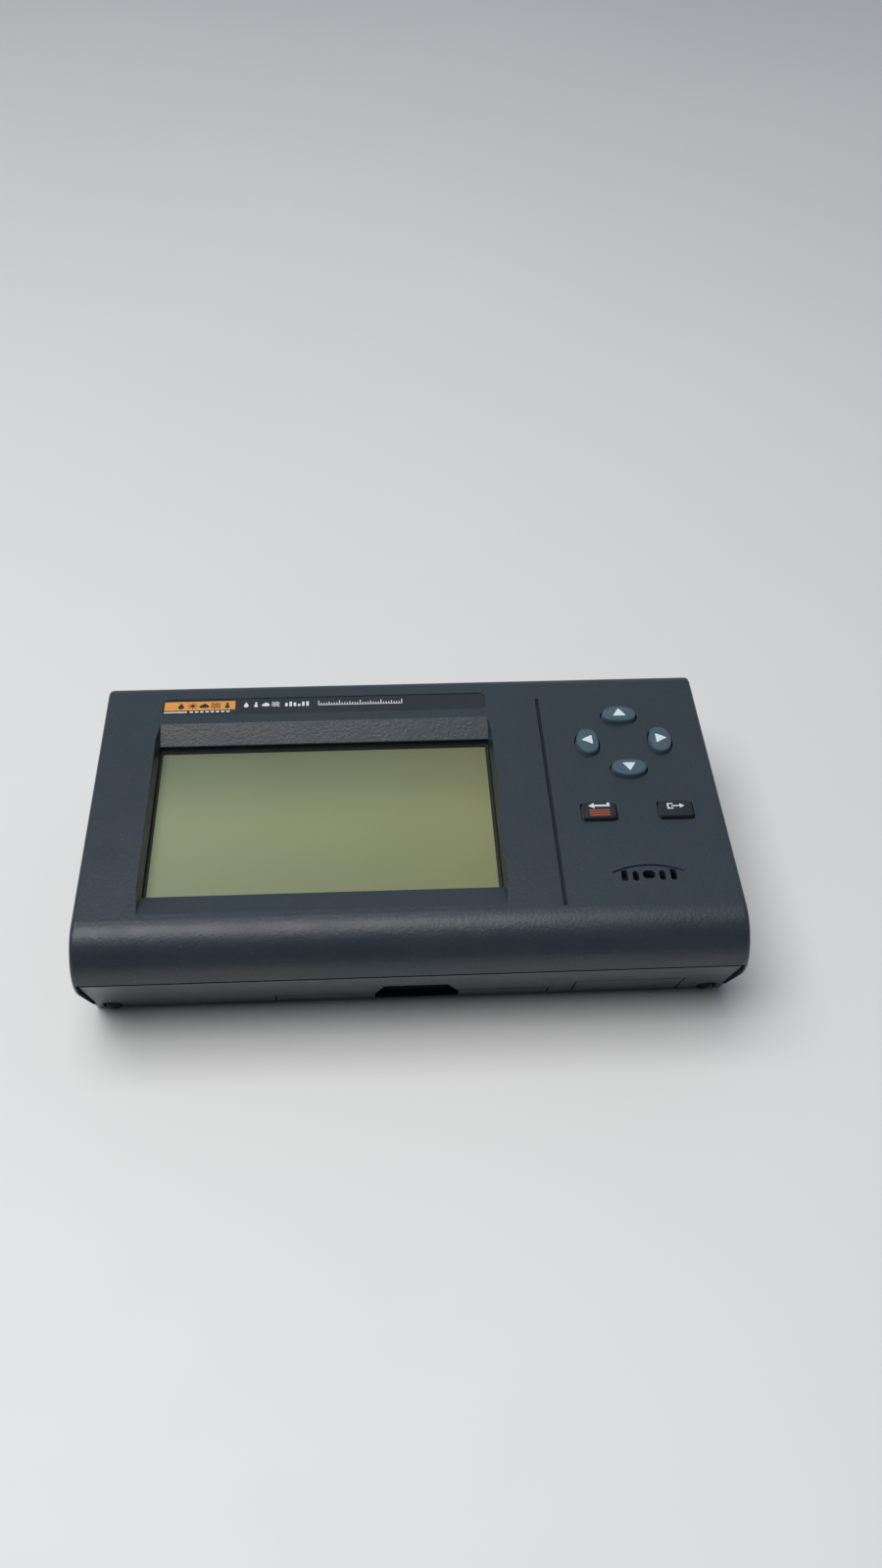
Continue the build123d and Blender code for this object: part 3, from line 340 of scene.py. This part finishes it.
def label_film():
    """Silver-grey film with a ruled border, rows of dashes and no lettering."""
    s = Shader("label_film")
    low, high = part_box("rating_label")
    across = s.span(s.axis(0), low.x, high.x)
    along = s.span(s.axis(1), low.y, high.y)
    off_x, off_y = (s.math("ABSOLUTE", s.math("SUBTRACT", share, 0.5)) for share in (across, along))
    border = s.math("MAXIMUM", s.math("GREATER_THAN", off_x, 0.485), s.math("GREATER_THAN", off_y, 0.46))
    rows = s.math("LESS_THAN", s.math("FRACT", s.math("MULTIPLY", along, LABEL_ROWS)), 0.34)
    dashes = s.math("GREATER_THAN", s.noise(520, 1, 0.5, s.stretched(1.0, 0.02, 1.0)), 0.47)
    field = s.math("MULTIPLY", s.math("LESS_THAN", off_x, 0.42), s.math("LESS_THAN", off_y, 0.36))
    ink = s.math("MAXIMUM", border, s.math("MULTIPLY", s.math("MULTIPLY", rows, dashes), field))
    film = s.ramp(s.noise(90, 4), [(0.3, (0.4, 0.41, 0.42)), (0.7, (0.46, 0.47, 0.48))])
    s.colour(s.mix(ink, film, (0.05, 0.055, 0.06)))
    s.roughness(s.span(s.noise(200, 4), 0.3, 0.7, 0.36, 0.48))
    s.normal(s.bump(s.noise(2500, 2), 0.008 * MM))
    return s.material


# One material for each material slot of the frame.
MATERIALS = {
    "case_plastic": moulded_plastic(
        "case_plastic", (0.0155, 0.0235, 0.03), (0.019, 0.028, 0.036),
        rough=(0.34, 0.43), gloss=0.68, edge=0.3 * MM,
    ),
    "window": clear_window(),
    "black_foam": foam(),
    "black_steel": black_paint("black_steel"),
    "lcd_film": lcd_panel(),
    "white_plastic": moulded_plastic("white_plastic", (0.6, 0.6, 0.56), (0.66, 0.66, 0.62), grain=900),
    "circuit_board": board_green(),
    "zinc_screw": metal("zinc_screw", (0.46, 0.46, 0.47), 0.34),
    "plate_film": plate_film(),
    "grey_rubber": silicone("grey_rubber", (0.03, 0.03, 0.032), (0.045, 0.045, 0.048)),
    "black_plastic": moulded_plastic(
        "black_plastic", (0.008, 0.008, 0.009), (0.014, 0.014, 0.015), grain=1800, depth=0.02 * MM,
    ),
    "blue_rubber": silicone("blue_rubber", (0.046, 0.086, 0.109), (0.058, 0.105, 0.13)),
    "black_rubber": silicone("black_rubber", (0.009, 0.0115, 0.0155), (0.014, 0.017, 0.022)),
    "can_metal": metal("can_metal", (0.7, 0.7, 0.71), 0.3, (1, 1, 0.1)),
    "socket_metal": metal("socket_metal", (0.62, 0.61, 0.58), 0.26),
    "shield_metal": metal("shield_metal", (0.6, 0.6, 0.6), 0.3, (0.1, 1, 1)),
    "contact_brass": metal("contact_brass", (0.8, 0.58, 0.25), 0.25),
    "battery_shell": black_paint("battery_shell"),
    "pin_steel": metal("pin_steel", (0.6, 0.6, 0.6), 0.25, (0.1, 1, 1)),
    "label_film": label_film(),
    "foot_rubber": silicone("foot_rubber", (0.012, 0.012, 0.012), (0.02, 0.02, 0.02), (0.7, 0.85)),
}
WHITE_INK = printed_ink("white_ink", (0.72, 0.76, 0.78))
ORANGE_INK = printed_ink("orange_ink", (0.45, 0.085, 0.03))
AMBER_INK = printed_ink("amber_ink", (0.72, 0.31, 0.055), 0.42)
DARK_INK = printed_ink("dark_ink", (0.012, 0.012, 0.013))

for entry in frame["record"]["subparts"]:
    mesh = NODES[entry["node"]].data
    mesh.materials.clear()
    mesh.materials.append(MATERIALS[entry["material_slot"]])


# ---------------------------------------------------------------- mesh helpers
def piece(name, mesh, body, material):
    """Makes a mesh into a piece that rides on a CAD body."""
    made = bpy.data.objects.new(name, mesh)
    SCENE.collection.objects.link(made)
    mesh.materials.append(material)
    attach(made, body)
    return made


def smooth(mesh, angle):
    """Shades a mesh smooth, but keeps its folds sharper than the angle crisp."""
    mesh.shade_smooth()
    mesh.set_sharp_from_angle(angle=math.radians(angle))
    return mesh


def settle(elements, place):
    """Puts vertices, edges or faces in order of place, and numbers them so."""
    ranks = {element: rank for rank, element in enumerate(sorted(elements, key=place))}
    elements.sort(key=lambda element: ranks[element])
    elements.index_update()


def corner_numbers(element):
    return tuple(sorted(vert.index for vert in element.verts))


def relief(name, outlines, height, depth, body, material, cuts=2):
    """Closed thin prints or inlays: flat outlines in X and Y that follow a surface height."""
    bm = bmesh.new()
    for outline in outlines:
        points = [Vector((x, y, 0)) for x, y in outline]
        corners = [bm.verts.new(p) for p in points]
        for triangle in tessellate_polygon([points]):
            bm.faces.new([corners[i] for i in triangle])
    bmesh.ops.recalc_face_normals(bm, faces=bm.faces)
    if cuts:
        bmesh.ops.subdivide_edges(bm, edges=bm.edges[:], cuts=cuts, use_grid_fill=True)
        bmesh.ops.triangulate(bm, faces=bm.faces[:])
    for face in bm.faces:
        if face.normal.z < 0:
            face.normal_flip()
    grown = bmesh.ops.extrude_face_region(bm, geom=bm.faces[:])
    top = {v for v in grown["geom"] if isinstance(v, bmesh.types.BMVert)}
    for vert in bm.verts:
        vert.co.z = height(vert.co.x, vert.co.y) - (0.0 if vert in top else depth)
    bmesh.ops.recalc_face_normals(bm, faces=bm.faces)
    # Extruding leaves its parts in a new order each run, so the order is settled here.
    settle(bm.verts, lambda vert: tuple(vert.co))
    settle(bm.edges, corner_numbers)
    settle(bm.faces, corner_numbers)
    mesh = bpy.data.meshes.new(name)
    bm.to_mesh(mesh)
    bm.free()
    return piece(name, mesh, body, material)


def placed(outline, x, y, turn=0.0):
    """An outline in millimetres, turned by degrees and moved to a place in metres."""
    c, s = math.cos(math.radians(turn)), math.sin(math.radians(turn))
    return [(x + MM * (a * c - b * s), y + MM * (a * s + b * c)) for a, b in outline]


def bar(x0, y0, x1, y1):
    """The outline of a rectangle, from two opposite corners."""
    return [(x0, y0), (x1, y0), (x1, y1), (x0, y1)]


# ---------------------------------------------------------------- keys
SAME_LEVEL = 0.05 * MM           # vertices this close to a height belong to it
CAP_FOOT = 1.6 * MM              # a cap starts this far above the foot of its CAD key
# How far below its top a CAD key's rounding starts, by slot.
KEY_ROUNDS = {"blue_rubber": 0.9 * MM, "black_rubber": 0.5 * MM}
PRINT = 0.03 * MM                # room for the ink on a key, below the top of its CAD key
INK_DEPTH = 0.2 * MM             # thickness of a sign, nearly all of it inside its key
SHOULDER_STEPS = 8
CROWN_RINGS = (0.85, 0.65, 0.45, 0.25, 0.1)  # shares of the shoulder's outline
ARROW_TURNS = {"up": 0, "left": 90, "down": 180, "right": -90}


def outline_of(node, level, steps=144):
    """A key's outline at a height, read from its CAD node, as evenly turned points about its middle."""
    low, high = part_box(node)
    middle = (low + high) / 2
    found = []
    for vert in NODES[node].data.vertices:
        if abs(vert.co.z - level) < SAME_LEVEL:
            across = vert.co - middle
            found.append((math.atan2(across.y, across.x), math.hypot(across.x, across.y)))
    found = sorted(found)
    found = [(found[-1][0] - math.tau, found[-1][1])] + found + [(found[0][0] + math.tau, found[0][1])]
    points = []
    for step in range(steps):
        angle = -math.pi + math.tau * (step + 0.5) / steps
        after = next(i for i, (turn, _) in enumerate(found) if turn > angle)
        (turn0, r0), (turn1, r1) = found[after - 1], found[after]
        share = (angle - turn0) / max(turn1 - turn0, 1e-9)
        x0, y0 = r0 * math.cos(turn0), r0 * math.sin(turn0)
        x1, y1 = r1 * math.cos(turn1), r1 * math.sin(turn1)
        points.append((x0 + (x1 - x0) * share, y0 + (y1 - y0) * share))
    return middle, points


def key_piece(node, body, slot, shoulder_r, crown, draft):
    """A key cap with drafted sides, a rounded shoulder and a crowned top.

    Returns the height function of its top and the key's middle.
    """
    low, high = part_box(node)
    foot = low.z + CAP_FOOT
    top = high.z - PRINT
    middle, points = outline_of(node, high.z - KEY_ROUNDS[slot])
    half_x = max(abs(x) for x, _ in points)
    half_y = max(abs(y) for _, y in points)
    edge_z = top - crown
    rings = [(0.0, foot), (draft * 0.5, (foot + edge_z - shoulder_r) / 2)]
    for step in range(SHOULDER_STEPS + 1):
        turn = math.pi / 2 * step / SHOULDER_STEPS
        inset = draft + shoulder_r * (1 - math.cos(turn))
        rings.append((inset, edge_z - shoulder_r * (1 - math.sin(turn))))
    edge = rings[-1][0]

    def height(x, y):
        """The crowned top: highest in the middle, edge_z at the shoulder."""
        reach = math.hypot((x - middle.x) / (half_x - edge), (y - middle.y) / (half_y - edge))
        return top - crown * min(1.0, reach * reach)

    bm = bmesh.new()
    loops = []
    for inset, z in rings:
        scale_x, scale_y = 1 - inset / half_x, 1 - inset / half_y
        loops.append([bm.verts.new((middle.x + x * scale_x, middle.y + y * scale_y, z)) for x, y in points])
    for share in CROWN_RINGS:
        scale_x, scale_y = (1 - edge / half_x) * share, (1 - edge / half_y) * share
        ring = [(middle.x + x * scale_x, middle.y + y * scale_y) for x, y in points]
        loops.append([bm.verts.new((x, y, height(x, y))) for x, y in ring])
    for first, second in zip(loops, loops[1:]):
        for i in range(len(points)):
            j = (i + 1) % len(points)
            bm.faces.new((first[i], first[j], second[j], second[i]))
    bm.faces.new(loops[-1])
    bm.faces.new(list(reversed(loops[0])))
    bmesh.ops.recalc_face_normals(bm, faces=bm.faces)
    mesh = bpy.data.meshes.new(node + "_cap")
    bm.to_mesh(mesh)
    bm.free()
    cap = piece(node + "_cap", smooth(mesh, 50), body, MATERIALS[slot])
    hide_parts(node)
    return height, middle


def arrow_sign():
    """A triangle with clipped corners, pointing to +Y."""
    tips = [(0, 2.2), (-2.3, -1.65), (2.3, -1.65)]
    outline = []
    for i, (x, y) in enumerate(tips):
        for other in (tips[i - 1], tips[(i + 1) % 3]):
            outline.append((x + (other[0] - x) * 0.07, y + (other[1] - y) * 0.07))
    return outline


def key_print(name, shapes, height, body, ink):
    """Ink that stands half of PRINT above a key's crowned top."""
    relief(name, shapes, lambda x, y: height(x, y) + PRINT * 0.5, INK_DEPTH, body, ink)


for name, turn in ARROW_TURNS.items():
    node, body, slot = f"key_{name}", f"key_{name}_body", "blue_rubber"
    height, middle = key_piece(node, body, slot, shoulder_r=0.75 * MM, crown=0.3 * MM, draft=0.2 * MM)
    sign = placed(arrow_sign(), middle.x, middle.y, turn)
    key_print(f"sign_{name}", [sign], height, body, WHITE_INK)

# The action keys' signs, in millimetres about the middle of a sign.
ENTER_SIGN = [(-3.6, 0), (-1.6, 1.25), (-1.6, 0.4), (2.7, 0.4), (2.7, 1.3), (3.6, 1.3), (3.6, -0.42),
              (-1.6, -0.42), (-1.6, -1.25)]
MENU_BARS = [bar(-3.4, y, 3.4, y + 0.5) for y in (-1.3, -0.25, 0.8)]
DOOR_SIGN = [(-2.9, -1.3), (-0.9, -1.3), (-0.9, -0.85), (-2.4, -0.85), (-2.4, 0.85), (-0.9, 0.85),
             (-0.9, 1.3), (-2.9, 1.3)]
OUT_SIGN = [(-1.5, -0.24), (1.3, -0.24), (1.3, -1.0), (2.9, 0.0), (1.3, 1.0), (1.3, 0.24), (-1.5, 0.24)]

# Each key's signs: outlines, how far towards the far side of the key they sit, and their ink.
for name, signs in (
    ("enter", [([ENTER_SIGN], 1.75, WHITE_INK), (MENU_BARS, -1.35, ORANGE_INK)]),
    ("exit", [([DOOR_SIGN, OUT_SIGN], 0.75, WHITE_INK)]),
):
    node, body, slot = f"key_{name}", f"key_{name}_body", "black_rubber"
    height, middle = key_piece(node, body, slot, shoulder_r=0.6 * MM, crown=0.12 * MM, draft=0.25 * MM)
    for count, (outlines, lift, ink) in enumerate(signs):
        shapes = [placed(o, middle.x, middle.y + lift * MM) for o in outlines]
        key_print(f"sign_{name}_{count}", shapes, height, body, ink)


# ---------------------------------------------------------------- name plate prints
def circle(x, y, radius, start=0.0, sweep=360.0, steps=24):
    """Points along an arc, from a starting angle in degrees."""
    angles = [math.radians(start + sweep * step / steps) for step in range(steps + (sweep < 360))]
    return [(x + radius * math.cos(a), y + radius * math.sin(a)) for a in angles]


# Weather signs, about one unit in radius, each a list of outlines.
def drop_sign():
    return [[(0.0, 1.0)] + circle(0, -0.38, 0.62, 150, 240)]


def thermometer_sign():
    return [circle(0, -0.5, 0.5, 120, 300) + circle(0, 0.76, 0.24, 0, 180, 8)]


def sun_sign():
    rays = []
    for step in range(8):
        turn = math.radians(45 * step)
        out, side = (math.cos(turn), math.sin(turn)), (-math.sin(turn), math.cos(turn))
        rays.append([
            (out[0] * reach + side[0] * wide, out[1] * reach + side[1] * wide)
            for reach, wide in ((0.66, -0.13), (1.0, -0.13), (1.0, 0.13), (0.66, 0.13))
        ])
    return [circle(0, 0, 0.5)] + rays


def cloud_sign():
    right = circle(0.62, -0.28, 0.42, -90, 150, 10)
    middle = circle(0.1, 0.1, 0.58, 20, 140, 12)
    return [right + middle + circle(-0.6, -0.26, 0.44, 110, 160, 10)]


def wave_sign():
    """Three wavy strips, for wind."""
    strips = []
    for rise in (-0.62, 0.0, 0.62):
        upper = [(-1 + step / 8, rise + 0.14 + 0.16 * math.sin(step * 0.78)) for step in range(17)]
        strips.append(upper + [(x, y - 0.3) for x, y in reversed(upper)])
    return strips


SCALE_X, SCALE_Y = 55.0, 4.3     # near left corner of the scale on the plate


def plate_prints():
    """An amber block with dark weather signs, and white signs, bars and a fine scale beside it.

    Places are in millimetres from the plate's near left corner.
    """
    low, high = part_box("name_plate")
    left, near, top = low.x / MM, low.y / MM, high.z
    sign_y = 4.95                # middle of the row of signs

    def show(name, outlines, lift, ink):
        relief(name, outlines, lambda x, y: top + lift * MM, 0.1 * MM, "case", ink, cuts=0)

    def spot(x, y):
        return (left + x) * MM, (near + y) * MM

    def at(sign, x, size, stretch=1.0):
        return [[spot(x + a * size * stretch, sign_y + b * size) for a, b in part] for part in sign]

    def box(x, y, wide, tall):
        return [spot(a, b) for a, b in bar(x, y, x + wide, y + tall)]

    show("plate_block", [box(0.3, 2.7, 25.1, 4.5)], 0.03, AMBER_INK)
    dark = []
    for step, sign in enumerate((drop_sign, sun_sign, cloud_sign, wave_sign, thermometer_sign)):
        dark += at(sign(), 6.2 + step * 4.1, 1.55, 1.1)
    show("plate_block_signs", dark, 0.05, DARK_INK)

    white = [box(0.3, 1.5, 8.1, 0.55)]
    for step in range(8):
        white.append(box(9.4 + step * 1.85, 1.45, 1.2, 0.7))
    for step, sign in enumerate((drop_sign, thermometer_sign, cloud_sign, wave_sign)):
        white += at(sign(), 29.3 + step * 3.5, 1.35)
    for step in range(6):
        white.append(box(43.2 + step * 1.5, 3.7, 0.9, 0.9 + 1.5 * abs(math.sin(step * 0.9 + 0.6))))
    for step in range(33):
        rise = 1.9 if step % 8 == 0 else 1.3 if step % 4 == 0 else 0.8
        white.append(box(SCALE_X + step * 0.93, SCALE_Y, 0.3, rise))
    white.append(box(SCALE_X, SCALE_Y - 0.4, 30.1, 0.3))
    show("plate_white_signs", white, 0.04, WHITE_INK)


plate_prints()

# CAD pieces that are still shown are shaded smooth, apart from their corners.
for obj in NODES.values():
    if not obj.hide_render:
        smooth(obj.data, 30)


# ---------------------------------------------------------------- table, light, camera
def table():
    """A flat top at Z = 0, large enough to fill the picture."""
    half = 4.0
    mesh = bpy.data.meshes.new("table")
    corners = [(x, y, 0) for x, y in bar(-half, -half, half, half)]
    mesh.from_pydata(corners, [], [(0, 1, 2, 3)])
    mesh.materials.append(table_top())
    made = bpy.data.objects.new("table", mesh)
    SCENE.collection.objects.link(made)


def lamp(name, place, size, power, glossy=True):
    """A soft ceiling panel that faces straight down; one that isn't glossy leaves no reflection."""
    light = bpy.data.lights.new(name, "AREA")
    light.shape = "RECTANGLE"
    light.size, light.size_y = size
    light.energy = power
    made = bpy.data.objects.new(name, light)
    made.location = place
    made.visible_glossy = glossy
    SCENE.collection.objects.link(made)


def room(front, far):
    """Dim room light, brighter from the far side than from the front."""
    world = bpy.data.worlds.new("room")
    world.use_nodes = True
    tree = world.node_tree
    split = tree.nodes.new("ShaderNodeSeparateXYZ")
    tree.links.new(tree.nodes.new("ShaderNodeTexCoord").outputs["Generated"], split.inputs[0])
    span = tree.nodes.new("ShaderNodeMapRange")
    tree.links.new(split.outputs[1], span.inputs["Value"])
    span.inputs["From Min"].default_value = -0.4
    span.inputs["From Max"].default_value = 0.9
    span.inputs["To Min"].default_value = front
    span.inputs["To Max"].default_value = far
    background = tree.nodes["Background"]
    background.inputs[0].default_value = (0.8, 0.95, 1.14, 1)
    tree.links.new(span.outputs[0], background.inputs[1])
    SCENE.world = world


def camera():
    """The photograph's viewpoint, from fitting a camera to the object's outline."""
    data = bpy.data.cameras.new("camera")
    data.sensor_width = 36.0
    data.lens = 32.84
    data.clip_end = 20
    made = bpy.data.objects.new("camera", data)
    made.location = (-0.0096, -0.3322, 0.3945)
    made.rotation_euler = Euler((0.7775, -0.0129, -0.0498))
    SCENE.collection.objects.link(made)
    SCENE.camera = made


table()
lamp("front_panel", (-0.45, -0.49, 1.5), (1.1, 0.58), 14, glossy=False)
lamp("far_panel", (-0.4, 0.17, 1.5), (1.15, 0.76), 11.2)
room(0.09, 0.4)
camera()
SCENE.view_settings.view_transform = "Standard"
